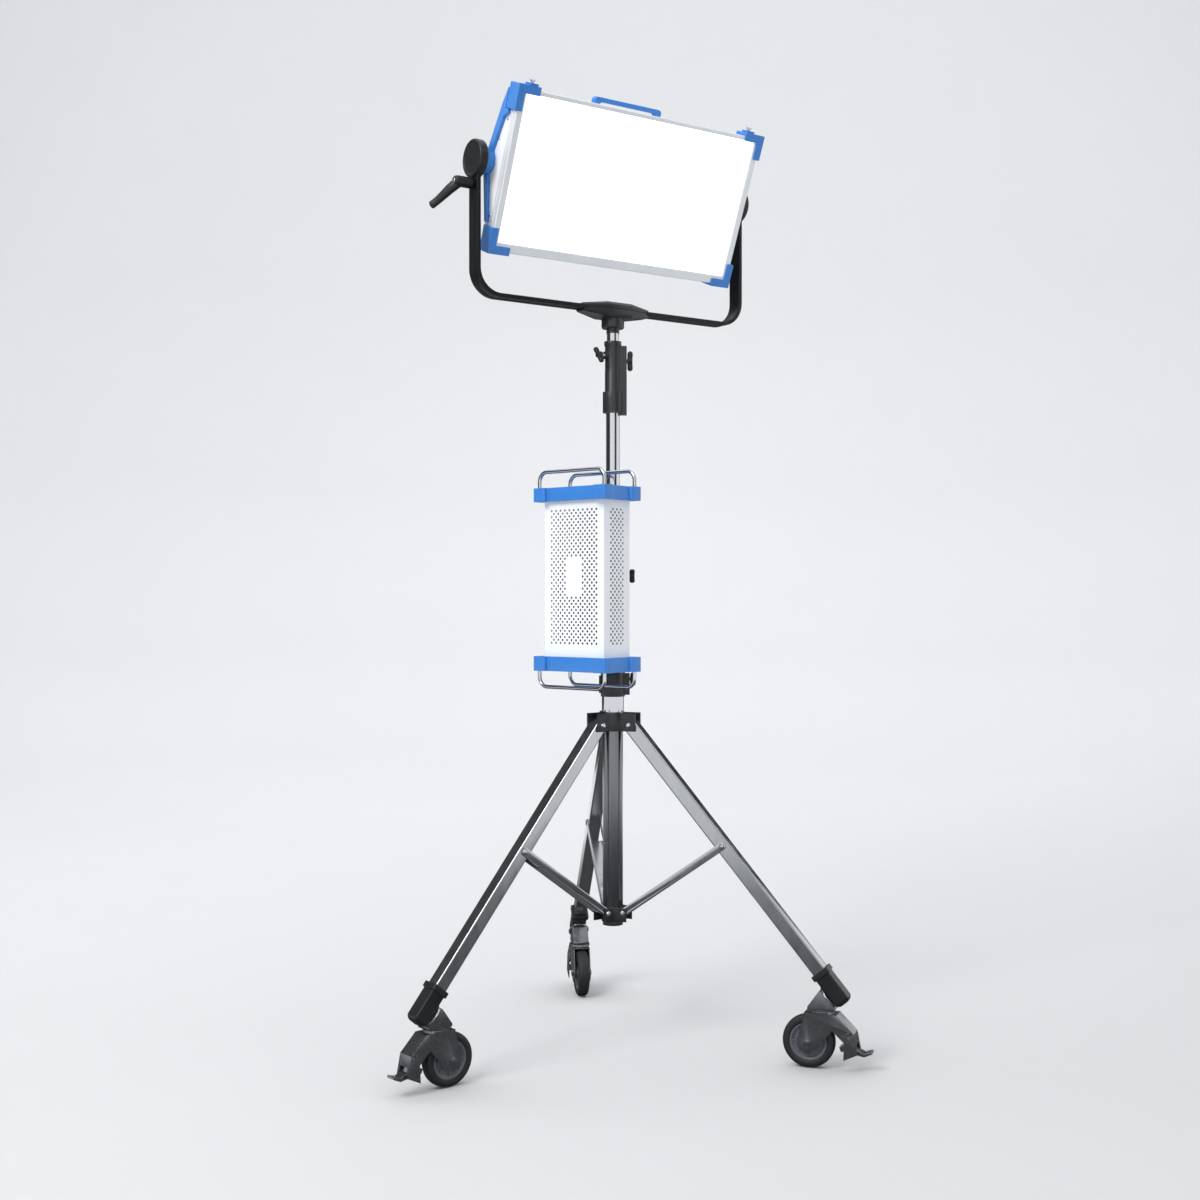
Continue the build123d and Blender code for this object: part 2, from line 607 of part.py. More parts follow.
def make_latches():
    """Sprung pins in tabs on the two upper corners, for clip-on light modifiers."""
    top = BEZEL_Z[1] + 8
    guards = parts["guards"]
    for side, name in ((-1, "latch_left"), (1, "latch_right")):
        x = side * 306
        base = block((x - 12, x + 12), (-80, -56), (top, top + 5))
        guards += fillet(base.edges().filter_by(Axis.Z), 4)
        guards -= rod((x, -68, top - 4.5), (x, -68, top + 6), LATCH_R + RUNNING)
        pin = rod((x, -68, top - 1), (x, -68, top + 9), LATCH_R)
        parts[name] = pin + rod((x, -68, top + 9), (x, -68, top + 12.5), 6)
    parts["guards"] = whole(guards)


def make_head():
    before = set(parts)
    make_front()
    make_housing()
    make_guards()
    make_handle()
    make_heat_sink()
    make_controls()
    make_sockets()
    make_latches()
    for name in parts:
        if name not in before:
            parts[name] = place_head(parts[name])


# ---------------------------------------------------------------- power supply
# Drawn with the column on Z and the supply towards +X, then turned into place.
def place_supply(shape):
    return turned(shape, SUPPLY_ANGLE)


def case_block(extra, z):
    half_x = CASE[1] / 2 + extra
    half_y = CASE[0] / 2 + extra
    return block((SUPPLY_OFF - half_x, SUPPLY_OFF + half_x), (-half_y, half_y), z)


def end_frame(z):
    """A band round the case, thicker at its four corners."""
    band = case_block(11, z)
    for x in (SUPPLY_OFF - CASE[1] / 2, SUPPLY_OFF + CASE[1] / 2):
        for y in (-CASE[0] / 2, CASE[0] / 2):
            near_x, near_y = (x > SUPPLY_OFF) * 2 - 1, (y > 0) * 2 - 1
            lobe_x = sorted((x - near_x * 16, x + near_x * 20))
            lobe_y = sorted((y - near_y * 18, y + near_y * 20))
            band += softened(block(lobe_x, lobe_y, z), 7, Axis.Z)
    return band


def wire_handle(x, level, reach):
    """A bent rod from one corner of a frame to the other, standing up or hanging down."""
    half = CASE[0] / 2 + 8
    path = FilletPolyline((x, -half, level), (x, -half, reach), (x, half, reach),
                          (x, half, level), radius=22)
    profile = Plane(origin=(x, -half, level), z_dir=(0, 0, reach - level)) * Circle(4.5)
    return sweep(profile, path)


def make_supply():
    low, high = CASE_Z
    shell = softened(case_block(0, (low - 8, high + 8)), 3, Axis.Z)
    shell -= case_block(-2, (low - 5, high + 5))
    parts["supply_case"] = place_supply(shell)
    module = block((SUPPLY_OFF - 32, SUPPLY_OFF + 32), (-80, 80), (low + 6, high - 6))
    module = softened(module, 4, Axis.Z)
    parts["supply_module"] = place_supply(module)
    frames = []
    handles = []
    for z, reach in (((low - 34, low), low - 71), ((high, high + 32), high + 69)):
        outer_face = z[1] if reach > z[1] else z[0]
        frame = end_frame(z) - softened(case_block(0, (low - 8, high + 8)), 3, Axis.Z)
        lid_z = (high + 8, high + 20) if reach > high else (low - 20, low - 8)
        frame += case_block(5, lid_z)
        for x in (SUPPLY_OFF - 53, SUPPLY_OFF + 53):
            bar = wire_handle(x, outer_face, reach)
            handles.append(bar.solid())
        frames.append(frame.solid())
    parts["supply_frames"] = place_supply(Compound(children=frames))
    parts["supply_handles"] = place_supply(Compound(children=handles))
    make_supply_clamp()


def make_supply_clamp():
    z = (SUPPLY_CLAMP_Z - 20, SUPPLY_CLAMP_Z + 20)
    back = SUPPLY_OFF - CASE[1] / 2
    body = upright(33, z) + block((20, back), (-22, 22), z)
    body += block((back - 4, back), (-40, 40), (z[0] - 30, z[1] + 30))
    lug = RIGHT - SUPPLY_ANGLE
    body += turned(block((20, 38), (-10, 10), z), lug)
    body -= upright(SLEEVE_R, z)
    screw = sideways(PIN_R + RUNNING, (0, 40), 0, SUPPLY_CLAMP_Z)
    body -= turned(screw, lug)
    parts["supply_clamp"] = place_supply(body)
    knob = Pos(0, 0, SUPPLY_CLAMP_Z) * tee_knob(28, 52, 17, 12)
    parts["supply_knob"] = turned(knob, RIGHT)


def main():
    make_column()
    make_sleeve()
    make_spider()
    make_collars()
    make_riser()
    make_legs()
    make_yoke()
    make_boss()
    make_head()
    make_supply()
    os.makedirs("parts", exist_ok=True)
    for name, shape in parts.items():
        export_step(whole(shape), f"parts/{name}.step")
    length, lean = brace_ends()
    print(len(parts), "nodes; brace", round(length, 2), "mm at", round(lean, 2), "degrees")


main()
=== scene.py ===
import json
from math import atan2, cos, pi, radians, sin

import bmesh
import bpy
from mathutils import Matrix, Vector

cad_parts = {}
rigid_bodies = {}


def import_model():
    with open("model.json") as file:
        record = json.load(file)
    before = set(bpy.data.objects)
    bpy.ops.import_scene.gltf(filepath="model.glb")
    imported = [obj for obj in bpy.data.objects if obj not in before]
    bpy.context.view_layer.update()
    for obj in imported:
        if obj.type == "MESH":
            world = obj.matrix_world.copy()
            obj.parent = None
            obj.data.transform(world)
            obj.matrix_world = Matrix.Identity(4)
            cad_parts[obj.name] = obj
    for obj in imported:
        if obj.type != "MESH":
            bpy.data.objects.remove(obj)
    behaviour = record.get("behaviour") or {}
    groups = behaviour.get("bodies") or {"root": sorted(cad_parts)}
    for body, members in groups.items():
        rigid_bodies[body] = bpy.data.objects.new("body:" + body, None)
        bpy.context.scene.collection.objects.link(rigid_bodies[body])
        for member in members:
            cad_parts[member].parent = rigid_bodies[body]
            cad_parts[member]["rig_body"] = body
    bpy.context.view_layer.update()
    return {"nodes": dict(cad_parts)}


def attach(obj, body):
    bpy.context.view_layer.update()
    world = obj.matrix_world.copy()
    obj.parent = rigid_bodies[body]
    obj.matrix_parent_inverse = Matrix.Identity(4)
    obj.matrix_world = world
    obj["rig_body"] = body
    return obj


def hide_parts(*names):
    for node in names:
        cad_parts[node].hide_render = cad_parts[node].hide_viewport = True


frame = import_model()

MM = 0.001

# ---------------------------------------------------------------- sizes shared with the CAD, in mm
TILT_Z = 2050.0
HEAD_DOWN = 22.5
SUPPLY_ANGLE = 194.6
HEAD = Matrix.Translation((0, 0, TILT_Z)) @ Matrix.Rotation(radians(HEAD_DOWN), 4, "X")
SUPPLY = Matrix.Rotation(radians(SUPPLY_ANGLE), 4, "Z")
LEG_ANGLES = (65.8, 185.8, 305.8)
RIGHT = -34.0               # direction in which the column's knobs stand out
SOCKET_SCREW_AT = 181.0     # direction of the receiver's round boss
SUPPLY_OFF = 92.6
CASE_X, CASE_Y = 91.0, 186.0
CASE_Z = (928.0, 1290.0)
APERTURE = (322.0, -165.0, 162.0)
BEZEL = (339.0, -186.0, 172.0)
ARM_MID, STRAP, STRAP_WIDE, BAR_Z, BEND_R = 375.0, 9.0, 40.0, 1747.5, 62.0
WHEEL_AT = (474.0, 60.0)
LEVER_Z = TILT_Z - 57.0


def turn(angle):
    return Matrix.Rotation(radians(angle), 4, "Z")


# ---------------------------------------------------------------- materials
def srgb(r, g, b):
    linear = [((c / 255 + 0.055) / 1.055) ** 2.4 if c > 10 else c / 255 / 12.92 for c in (r, g, b)]
    return tuple(linear) + (1.0,)


def scaled(color, factor):
    return tuple(min(1.0, c * factor) for c in color[:3]) + (1.0,)


def surface(name, color, rough, metallic=0.0, tone=0.08, tone_scale=18.0, grain=900.0, rough_swing=0.08,
            bump=0.06, bump_depth=0.0002, wear=None, wear_width=0.0008, wear_amount=0.5, stretch=(1, 1, 1),
            coat=0.0, specular=0.5, glow=0.0):
    """A procedural finish: drifting tone, fine grain in gloss and bump, and rubbed edges."""
    mat = bpy.data.materials.new(name)
    mat.use_nodes = True
    tree = mat.node_tree
    link = tree.links.new
    shader = tree.nodes["Principled BSDF"]
    shader.inputs["Metallic"].default_value = metallic
    shader.inputs["Coat Weight"].default_value = coat
    shader.inputs["Coat Roughness"].default_value = 0.12
    shader.inputs["Specular IOR Level"].default_value = specular
    where = tree.nodes.new("ShaderNodeTexCoord")
    place = tree.nodes.new("ShaderNodeMapping")
    place.inputs["Scale"].default_value = stretch
    link(where.outputs["Object"], place.inputs["Vector"])

    def noise(scale, detail, roughness=0.55):
        node = tree.nodes.new("ShaderNodeTexNoise")
        node.inputs["Scale"].default_value = scale
        node.inputs["Detail"].default_value = detail
        node.inputs["Roughness"].default_value = roughness
        link(place.outputs["Vector"], node.inputs["Vector"])
        return node.outputs["Fac"]

    def ramp(source, low, high, at=(0.3, 0.7)):
        node = tree.nodes.new("ShaderNodeValToRGB")
        node.color_ramp.elements[0].position = at[0]
        node.color_ramp.elements[1].position = at[1]
        node.color_ramp.elements[0].color = low
        node.color_ramp.elements[1].color = high
        link(source, node.inputs["Fac"])
        return node.outputs["Color"]

    def swing(source, low, high):
        node = tree.nodes.new("ShaderNodeMapRange")
        node.inputs["From Min"].default_value = 0.3
        node.inputs["From Max"].default_value = 0.7
        node.inputs["To Min"].default_value = low
        node.inputs["To Max"].default_value = high
        link(source, node.inputs["Value"])
        return node.outputs["Result"]

    def mixed(factor, first, second):
        node = tree.nodes.new("ShaderNodeMix")
        node.data_type = "RGBA"
        link(factor, node.inputs["Factor"])
        link(first, node.inputs["A"])
        if isinstance(second, tuple):
            node.inputs["B"].default_value = second
        else:
            link(second, node.inputs["B"])
        return node.outputs["Result"]

    broad = noise(tone_scale, 4)
    fine = noise(grain, 3, 0.7)
    paint = ramp(broad, scaled(color, 1 - tone), scaled(color, 1 + tone))
    speck = ramp(fine, scaled(color, 1 - tone * 0.8), scaled(color, 1 + tone * 0.8))
    half = tree.nodes.new("ShaderNodeMix")
    half.data_type = "RGBA"
    half.inputs["Factor"].default_value = 0.4
    link(paint, half.inputs["A"])
    link(speck, half.inputs["B"])
    paint = half.outputs["Result"]
    if wear is not None:
        bevel = tree.nodes.new("ShaderNodeBevel")
        bevel.samples = 4
        bevel.inputs["Radius"].default_value = wear_width
        geometry = tree.nodes.new("ShaderNodeNewGeometry")
        dot = tree.nodes.new("ShaderNodeVectorMath")
        dot.operation = "DOT_PRODUCT"
        link(bevel.outputs["Normal"], dot.inputs[0])
        link(geometry.outputs["Normal"], dot.inputs[1])
        edge = tree.nodes.new("ShaderNodeMapRange")
        edge.inputs["From Min"].default_value = 0.995
        edge.inputs["From Max"].default_value = 0.93
        edge.inputs["To Min"].default_value = 0.0
        edge.inputs["To Max"].default_value = wear_amount
        link(dot.outputs["Value"], edge.inputs["Value"])
        patch = swing(noise(tone_scale * 6, 5, 0.7), 0.0, 1.0)
        both = tree.nodes.new("ShaderNodeMath")
        both.operation = "MULTIPLY"
        link(edge.outputs["Result"], both.inputs[0])
        link(patch, both.inputs[1])
        paint = mixed(both.outputs["Value"], paint, wear)
    link(paint, shader.inputs["Base Color"])
    gloss = swing(noise(tone_scale * 2.5, 6, 0.65), rough - rough_swing, rough + rough_swing)
    link(gloss, shader.inputs["Roughness"])
    relief = tree.nodes.new("ShaderNodeBump")
    relief.inputs["Strength"].default_value = bump
    relief.inputs["Distance"].default_value = bump_depth
    link(fine, relief.inputs["Height"])
    link(relief.outputs["Normal"], shader.inputs["Normal"])
    if glow:
        shader.inputs["Emission Strength"].default_value = glow
        light = ramp(broad, scaled(color, 0.97), scaled(color, 1.0))
        link(light, shader.inputs["Emission Color"])
    return mat


RUBBED = srgb(120, 124, 130)
MAT = {
    "black_steel": surface("black_steel", srgb(30, 32, 34), 0.34, 0.0, coat=0.1, specular=0.4,
                           wear=RUBBED, wear_amount=0.5),
    "black_cast": surface("black_cast", srgb(36, 38, 41), 0.36, 0.0, specular=0.45, grain=650, bump=0.3,
                          bump_depth=0.0003,
                          wear=RUBBED, wear_amount=0.35),
    "black_plastic": surface("black_plastic", srgb(28, 30, 32), 0.42, 0.0, specular=0.35, grain=1100,
                             bump=0.25,
                             bump_depth=0.00025, wear=srgb(84, 86, 90), wear_amount=0.5),
    "black_aluminium": surface("black_aluminium", srgb(16, 18, 20), 0.44, 0.0, specular=0.2, grain=1000,
                               bump=0.18,
                               wear=RUBBED, wear_amount=0.35, coat=0.1),
    "chrome_tube": surface("chrome_tube", srgb(190, 193, 198), 0.11, 1.0, tone=0.03, rough_swing=0.05,
                           grain=1400, bump=0.02, stretch=(1, 1, 0.08)),
    "bright_pin": surface("bright_pin", srgb(190, 193, 198), 0.24, 1.0, tone=0.06, rough_swing=0.08),
    "diffuser": surface("diffuser", srgb(255, 255, 255), 0.45, 0.0, tone=0.01, tone_scale=6, grain=1500,
                        bump=0.05, glow=1.35),
    "bezel_aluminium": surface("bezel_aluminium", srgb(226, 230, 234), 0.36, 0.25, tone=0.03, grain=1600,
                               bump=0.1, bump_depth=0.0001, wear=srgb(236, 240, 244), wear_amount=0.4),
    "board": surface("board", srgb(228, 228, 226), 0.5, 0.0),
    "white_housing": surface("white_housing", srgb(240, 243, 247), 0.34, 0.0, tone=0.02, grain=1300,
                             bump=0.12,
                             bump_depth=0.0002, wear=srgb(214, 219, 226), wear_amount=0.5),
    "blue_plastic": surface("blue_plastic", srgb(50, 126, 208), 0.36, 0.0, tone=0.05, grain=1300, bump=0.14,
                            wear=srgb(96, 158, 240), wear_width=0.0012, wear_amount=0.55, specular=0.55),
    "fin_aluminium": surface("fin_aluminium", srgb(150, 154, 160), 0.4, 0.7, stretch=(1, 1, 0.1)),
    "potted_module": surface("potted_module", srgb(58, 64, 70), 0.6, 0.0),
    "leg_steel": surface("leg_steel", srgb(168, 171, 175), 0.17, 1.0, tone=0.08, rough_swing=0.07, grain=700,
                         bump=0.03, stretch=(1, 1, 0.3)),
    "column_steel": surface("column_steel", srgb(112, 114, 118), 0.2, 1.0, tone=0.06, rough_swing=0.06,
                            stretch=(1, 1, 0.2)),
    "caster_steel": surface("caster_steel", srgb(120, 122, 126), 0.25, 0.9, wear=RUBBED, wear_amount=0.5),
    "tyre": surface("tyre", srgb(28, 29, 31), 0.62, 0.0, grain=800, bump=0.35, bump_depth=0.0004, tone=0.15),
    "wheel_hub": surface("wheel_hub", srgb(96, 100, 106), 0.45, 0.1, wear=RUBBED),
    # Painted shade: near black, for the box that stands in for the shade inside the perforated case.
    "painted_inner_shade": surface("painted_inner_shade", srgb(26, 30, 34), 0.8, 0.0, specular=0.1),
    "lettered_glass": surface("lettered_glass", srgb(14, 20, 26), 0.08, 0.0, tone=0.2, coat=1.0),
}


# ---------------------------------------------------------------- mesh helpers
def finished(obj, sharp=32):
    obj.data.validate()
    for face in obj.data.polygons:
        face.use_smooth = True
    obj.data.set_sharp_from_angle(angle=radians(sharp))


def piece(name, meshes, materials, body, replaced=(), sharp=32):
    """Joins (bmesh, matrix, material index) parts, in mm, into one object in metres."""
    joined = bmesh.new()
    for part, matrix, index in meshes:
        for face in part.faces:
            face.material_index = index
        part.transform(matrix)
        scratch = bpy.data.meshes.new("scratch")
        part.to_mesh(scratch)
        joined.from_mesh(scratch)
        bpy.data.meshes.remove(scratch)
        part.free()
    bmesh.ops.scale(joined, vec=(MM, MM, MM), verts=joined.verts)
    bmesh.ops.recalc_face_normals(joined, faces=joined.faces)
    data = bpy.data.meshes.new(name)
    joined.to_mesh(data)
    joined.free()
    for material in materials:
        data.materials.append(MAT[material])
    obj = bpy.data.objects.new(name, data)
    bpy.context.scene.collection.objects.link(obj)
    finished(obj, sharp)
    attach(obj, body)
    if replaced:
        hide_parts(*replaced)
    return obj


def body_of(node):
    return frame["nodes"][node]["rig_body"]


def sharp_bevel(bm, width, segments=2, angle=28):
    edges = [e for e in bm.edges if len(e.link_faces) == 2 and e.calc_face_angle(0) > radians(angle)]
    if edges:
        bmesh.ops.bevel(bm, geom=edges, offset=width, offset_type="OFFSET", segments=segments, profile=0.6,
                        affect="EDGES", clamp_overlap=True)


def carried(node, bevel, material, segments=2, name=None):
    """The CAD node's own shape with its edges rounded."""
    bm = bmesh.new()
    bm.from_mesh(frame["nodes"][node].data)
    bmesh.ops.scale(bm, vec=(1 / MM,) * 3, verts=bm.verts)
    bmesh.ops.remove_doubles(bm, verts=bm.verts, dist=0.002)
    bmesh.ops.dissolve_limit(bm, angle_limit=radians(0.6), verts=bm.verts, edges=bm.edges)
    if bevel:
        sharp_bevel(bm, bevel, segments)
    return piece(name or node + "_body", [(bm, Matrix.Identity(4), 0)], [material], body_of(node),
                 [node])


def rounded(points, radius, steps=4):
    """A closed outline with each corner replaced by a short arc."""
    out = []
    count = len(points)
    for i, point in enumerate(points):
        here = Vector(point)
        before = Vector(points[i - 1]) - here
        after = Vector(points[(i + 1) % count]) - here
        reach = min(radius, before.length * 0.45, after.length * 0.45)
        start = here + before.normalized() * reach
        end = here + after.normalized() * reach
        for step in range(steps + 1):
            t = step / steps
            out.append(start * (1 - t) ** 2 + here * 2 * t * (1 - t) + end * t ** 2)
    return out


def rrect(width, height, radius, steps=3):
    w, h = width / 2, height / 2
    return rounded([(-w, -h), (w, -h), (w, h), (-w, h)], radius, steps)


def prism(outline, low, high, bevel=0.0, segments=2):
    """An outline in X-Y, from low to high along Z."""
    bm = bmesh.new()
    bottom = [bm.verts.new((p[0], p[1], low)) for p in outline]
    top = [bm.verts.new((p[0], p[1], high)) for p in outline]
    count = len(outline)
    bm.faces.new(list(reversed(bottom)))
    bm.faces.new(top)
    for i in range(count):
        j = (i + 1) % count
        bm.faces.new((bottom[i], bottom[j], top[j], top[i]))
    bmesh.ops.recalc_face_normals(bm, faces=bm.faces)
    if bevel:
        sharp_bevel(bm, bevel, segments)
    return bm


def slab(x, y, z, bevel=1.0, segments=2):
    return prism([(x[0], y[0]), (x[1], y[0]), (x[1], y[1]), (x[0], y[1])], z[0], z[1], bevel, segments)


def lathe(profile, segments=48, closed=False):
    """(radius, height) points turned round Z.  Ends on the axis are closed."""
    bm = bmesh.new()
    rings = []
    for radius, height in profile:
        if radius < 1e-4:
            rings.append([bm.verts.new((0, 0, height))])
        else:
            rings.append([bm.verts.new((radius * cos(2 * pi * s / segments),
                                        radius * sin(2 * pi * s / segments), height))
                          for s in range(segments)])
    pairs = list(zip(rings, rings[1:]))
    if closed:
        pairs.append((rings[-1], rings[0]))
    for a, b in pairs:
        for s in range(segments):
            t = (s + 1) % segments
            if len(a) == 1 and len(b) == 1:
                continue
            if len(a) == 1:
                bm.faces.new((a[0], b[s], b[t]))
            elif len(b) == 1:
                bm.faces.new((a[s], a[t], b[0]))
            else:
                bm.faces.new((a[s], a[t], b[t], b[s]))
    bmesh.ops.recalc_face_normals(bm, faces=bm.faces)
    return bm


def arc_profile(points, radius=1.0, steps=3):
    """An open (radius, height) profile with its inner corners rounded."""
    out = [Vector(points[0])]
    for before, here, after in zip(points, points[1:], points[2:]):
        here = Vector(here)
        back = Vector(before) - here
        on = Vector(after) - here
        reach = min(radius, back.length * 0.45, on.length * 0.45)
        start = here + back.normalized() * reach
        end = here + on.normalized() * reach
        for step in range(steps + 1):
            t = step / steps
            out.append(start * (1 - t) ** 2 + here * 2 * t * (1 - t) + end * t ** 2)
    out.append(Vector(points[-1]))
    return out


def sweep(path, sections, side, caps=True):
    """Sections (one outline, or one per point) carried along a path; side is the outline's first axis."""
    bm = bmesh.new()
    path = [Vector(p) for p in path]
    rings = []
    for i, point in enumerate(path):
        ahead = path[min(i + 1, len(path) - 1)] - path[max(i - 1, 0)]
        ahead.normalize()
        first = Vector(side) - ahead * Vector(side).dot(ahead)
        first.normalize()
        second = ahead.cross(first)
        section = sections[i] if isinstance(sections[0], list) else sections
        rings.append([bm.verts.new(point + first * p[0] + second * p[1]) for p in section])
    for a, b in zip(rings, rings[1:]):
        count = len(a)
        for s in range(count):
            t = (s + 1) % count
            bm.faces.new((a[s], a[t], b[t], b[s]))
    if caps:
        bm.faces.new(list(reversed(rings[0])))
        bm.faces.new(rings[-1])
    bmesh.ops.recalc_face_normals(bm, faces=bm.faces)
    return bm


def circle(radius, count=16):
    angles = [2 * pi * s / count for s in range(count)]
    return [Vector((radius * cos(angle), radius * sin(angle))) for angle in angles]


def bent(points, radius, steps=8):
    """A path through points with circular-looking bends."""
    out = [Vector(points[0])]
    for before, here, after in zip(points, points[1:], points[2:]):
        here = Vector(here)
        back = (Vector(before) - here).normalized()
        on = (Vector(after) - here).normalized()
        half = back.angle(on) / 2
        reach = radius / max(0.05, abs(sin(half) / cos(half)))
        start = here + back * reach
        end = here + on * reach
        middle = here + (back + on).normalized() * (radius / sin(half))
        a, b = start - middle, end - middle
        sweep_angle = a.angle(b)
        axis = a.cross(b).normalized()
        for step in range(steps + 1):
            out.append(middle + Matrix.Rotation(sweep_angle * step / steps, 3, axis) @ a)
    out.append(Vector(points[-1]))
    return out


def along(start, direction):
    """A matrix that puts +Z on direction, at start."""
    return Matrix.Translation(start) @ Vector(direction).to_track_quat("Z", "Y").to_matrix().to_4x4()


X_AXIS = Matrix.Rotation(radians(90), 4, "Y")      # +Z to +X
Y_AXIS = Matrix.Rotation(radians(-90), 4, "X")     # +Z to +Y



# ---------------------------------------------------------------- head
def head_piece(name, parts, materials, replaced=(), sharp=32, body="head"):
    return piece(name, [(bm, HEAD @ matrix, index) for bm, matrix, index in parts], materials, body,
                 replaced, sharp)


ONE = Matrix.Identity(4)


def make_bezel():
    """Four mitred extrusions with a groove round the outside."""
    profile = [(0, 0, -60), (0, 0, -65.5), (0, 0.9, -66.2), (0, 0.9, -68.3), (0, 0, -69), (0, 0, -80.6),
               (0, 1.4, -82), (1, -1.6, -82), (1, -0.4, -81.2), (1, 0, -78.2), (1, -6, -78.2), (1, -6, -60)]
    wide, bottom, top = BEZEL[0] - APERTURE[0], APERTURE[1] - BEZEL[1], BEZEL[2] - APERTURE[2]
    seam = 0.16
    parts = []
    corners = [(-1, -1), (1, -1), (1, 1), (-1, 1)]
    for i in range(4):
        ends = []
        for corner, other in ((corners[i], corners[(i + 1) % 4]), (corners[(i + 1) % 4], corners[i])):
            ring = []
            for share, extra, y in profile:
                x = corner[0] * (BEZEL[0] - share * wide - extra)
                if corner[1] < 0:
                    z = BEZEL[1] + share * bottom + extra
                else:
                    z = BEZEL[2] - share * top - extra
                if other[0] != corner[0]:
                    x -= corner[0] * seam
                else:
                    z -= corner[1] * seam
                ring.append(Vector((x, y, z)))
            ends.append(ring)
        bm = bmesh.new()
        a = [bm.verts.new(p) for p in ends[0]]
        b = [bm.verts.new(p) for p in ends[1]]
        for s in range(len(a)):
            t = (s + 1) % len(a)
            bm.faces.new((a[s], a[t], b[t], b[s]))
        bm.faces.new(list(reversed(a)))
        bm.faces.new(b)
        parts.append((bm, ONE, 0))
    head_piece("front_bezel_frame", parts, ["bezel_aluminium"], ["front_bezel"], sharp=20)


def make_head():
    sheet = slab((-328, 328), (-78, -74.2), (-171, 168), 0.6)
    head_piece("diffuser_sheet", [(sheet, ONE, 0)], ["diffuser"], ["diffuser_panel"])
    make_bezel()
    carried("head_housing", 1.2, "white_housing")
    carried("guards", 1.5, "blue_plastic", 3)
    carried("top_handle", 2.6, "blue_plastic", 3)
    carried("heat_sink", 0.0, "fin_aluminium")
    carried("led_board", 0.0, "board")
    carried("control_panel", 0.6, "black_plastic")
    carried("dimmer_knob", 0.4, "black_plastic")
    carried("menu_knob", 0.4, "black_plastic")
    carried("rear_sockets", 0.7, "black_plastic")
    carried("tilt_trunnions", 0.5, "bright_pin")
    glass = slab((202, 250), (23.6, 24.4), (53, 85), 0.2)
    head_piece("menu_glass", [(glass, ONE, 0)], ["lettered_glass"])
    screws = []
    for x in (-254, -198, 198, 254):
        for z in (-92, 92):
            screws.append((screw_head(3.0, 1.8), Matrix.Translation((x, 25 if x > 0 else 24, z)) @ Y_AXIS, 0))
    head_piece("rear_screws", screws, ["bright_pin"])
    cheek = []
    for side, axis in ((-1, X_AXIS @ Matrix.Rotation(pi, 4, "X")), (1, X_AXIS)):
        for y, z in ((-52, 100), (-52, -112), (-30, 55), (-30, -60)):
            cheek.append((screw_head(3.4, 1.6), Matrix.Translation((side * 338.9, y, z)) @ axis, 0))
    head_piece("cheek_screws", cheek, ["bright_pin"])
    contacts = []
    for z, ring, count in ((62, 9, 3), (14, 5.5, 5), (-24, 5.5, 5)):
        for n in range(count):
            turn_by = 2 * pi * n / count
            spot = Matrix.Translation((-226 + ring * cos(turn_by), 24, z + ring * sin(turn_by))) @ Y_AXIS
            contacts.append((lathe(arc_profile([(0, 0), (1.3, 0), (1.3, 6), (0, 6.6)], 0.5), 12), spot, 0))
    head_piece("socket_contacts", contacts, ["bright_pin"])
    for name, x in (("latch_left", -306), ("latch_right", 306)):
        profile = arc_profile([(0, 179), (3.5, 179), (3.5, 189), (6, 189), (6, 192.4), (0, 192.5)], 0.8)
        head_piece(name + "_pin", [(lathe(profile, 28), Matrix.Translation((x, -68, 0)), 0)], ["bright_pin"],
                   [name], body=name)


def screw_head(radius, height):
    """A button head with a round recess."""
    bm = lathe(arc_profile([(radius * 0.45, height * 0.35), (radius * 0.45, height), (radius * 0.7, height),
                            (radius, height * 0.35), (radius, -0.4)], 0.3), 20)
    floor = bm.verts.new((0, 0, height * 0.35))
    level = [v for v in bm.verts if v != floor and abs(v.co.z - height * 0.35) < 1e-4]
    rim = [v for v in level if v.co.xy.length < radius * 0.5]
    rim.sort(key=lambda v: atan2(v.co.y, v.co.x))
    for s in range(len(rim)):
        bm.faces.new((rim[s], rim[(s + 1) % len(rim)], floor))
    return bm


# ---------------------------------------------------------------- yoke
def make_yoke():
    path = bent([(-ARM_MID, 0, 2062), (-ARM_MID, 0, BAR_Z), (ARM_MID, 0, BAR_Z), (ARM_MID, 0, 2062)],
                BEND_R - STRAP / 2, 14)
    half, thick = STRAP_WIDE / 2, STRAP / 2
    section = rounded([(-half, -thick), (-6.2, -thick), (-5, 1.1 - thick), (5, 1.1 - thick), (6.2, -thick),
                       (half, -thick), (half, thick), (-half, thick)], 1.6, 3)
    piece("yoke_strap_bar", [(sweep(path, section, (0, 1, 0)), ONE, 0)], ["black_aluminium"], "yoke",
          ["yoke_strap"], 40)
    disc = arc_profile([(0, 363), (41, 363), (43, 365), (43, 381.5), (40.5, 384.4), (36.8, 384.3),
                        (35.6, 382.9), (30, 381.9), (16, 381.2), (0, 381.0)], 1.6, 4)
    parts = [(lathe(disc, 72), X_AXIS, 0),
             (lathe(disc, 72), Matrix.Rotation(radians(-90), 4, "Y"), 0)]
    parts = [(bm, Matrix.Translation((0, 0, TILT_Z)) @ matrix, index) for bm, matrix, index in parts]
    piece("yoke_hub_discs", parts, ["black_plastic"], "yoke", ["yoke_hubs"], 40)
    make_boss()
    make_lever()


